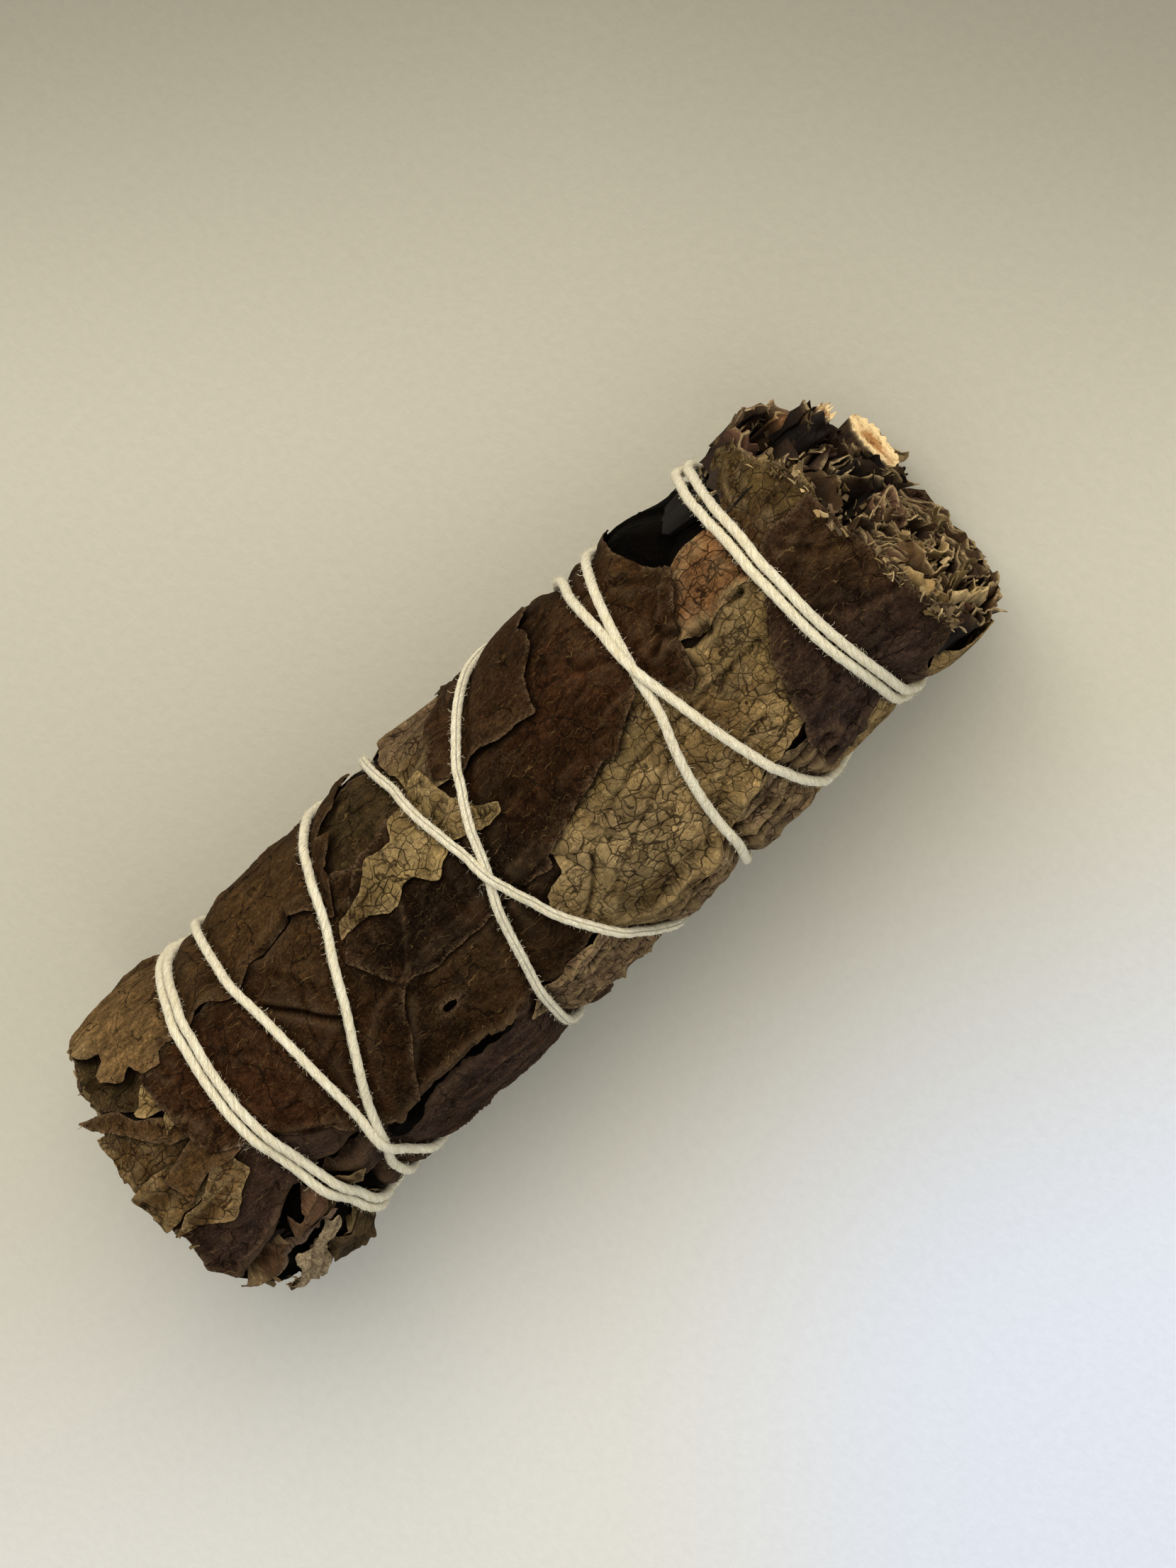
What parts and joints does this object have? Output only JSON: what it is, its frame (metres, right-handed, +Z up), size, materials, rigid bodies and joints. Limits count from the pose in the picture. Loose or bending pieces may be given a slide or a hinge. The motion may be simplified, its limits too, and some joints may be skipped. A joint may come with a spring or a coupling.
{
  "type": "dried herb smudge stick",
  "caption": "Tight roll of dried broad leaves and cut stalks, bound criss-cross with one cotton string, lying on its side.",
  "frame": {"origin": "on the surface it lies on, under the middle of the whole stick", "axes": "+X along the stick towards the end with the cut stalks, +Z up from the surface, +Y across the stick"},
  "size_m": [0.1068, 0.0364, 0.0344],
  "materials": {
    "inner_leaves": "dry, rough",
    "stalk": "pale cut wood, matt",
    "leaf_dark": "dry leaf, upper face, satin",
    "leaf_brown": "dry leaf, upper face, satin",
    "leaf_purple": "dry leaf, upper face, satin",
    "leaf_olive": "dry leaf, dull",
    "leaf_tan": "dry leaf, underside with a raised net of veins, dull",
    "leaf_golden": "dry leaf, dull",
    "leaf_rosy": "dry leaf, underside with veins, dull",
    "string": "soft twisted cotton, matt"
  },
  "bodies": {
    "root": {"inner_leaves": "inner_leaves", "stalk_wide": "stalk", "stalk_small": "stalk", "back_leaf_1": "leaf_dark", "back_leaf_2": "leaf_tan", "back_leaf_3": "leaf_purple", "back_leaf_4": "leaf_brown", "back_leaf_5": "leaf_brown", "back_leaf_6": "leaf_brown", "back_leaf_7": "leaf_purple", "back_leaf_8": "leaf_tan", "back_leaf_9": "leaf_brown", "purple_leaf_lower": "leaf_purple", "ragged_leaf_left_1": "leaf_brown", "ragged_leaf_left_2": "leaf_olive", "dark_leaf_left": "leaf_purple", "tan_leaf_left_1": "leaf_tan", "tan_leaf_left_2": "leaf_tan", "tan_leaf_left_3": "leaf_tan", "brown_leaf_left": "leaf_brown", "olive_leaf_left": "leaf_olive", "strip_leaf_left": "leaf_brown", "flake_leaf_left": "leaf_tan", "olive_leaf_middle": "leaf_olive", "brown_leaf_middle": "leaf_brown", "dark_leaf_middle": "leaf_dark", "crumpled_leaf_lower_1": "leaf_tan", "crumpled_leaf_lower_2": "leaf_tan", "tan_leaf_large": "leaf_tan", "hollow_leaf_right": "leaf_dark", "rosy_leaf_right": "leaf_rosy", "tan_leaf_right": "leaf_olive", "red_leaf_middle": "leaf_brown", "purple_leaf_right": "leaf_purple", "golden_leaf": "leaf_golden", "tan_leaf_strip": "leaf_tan", "brown_leaf_top": "leaf_brown", "crumpled_leaf_top": "leaf_rosy", "string": "string"}
  },
  "joints": []
}
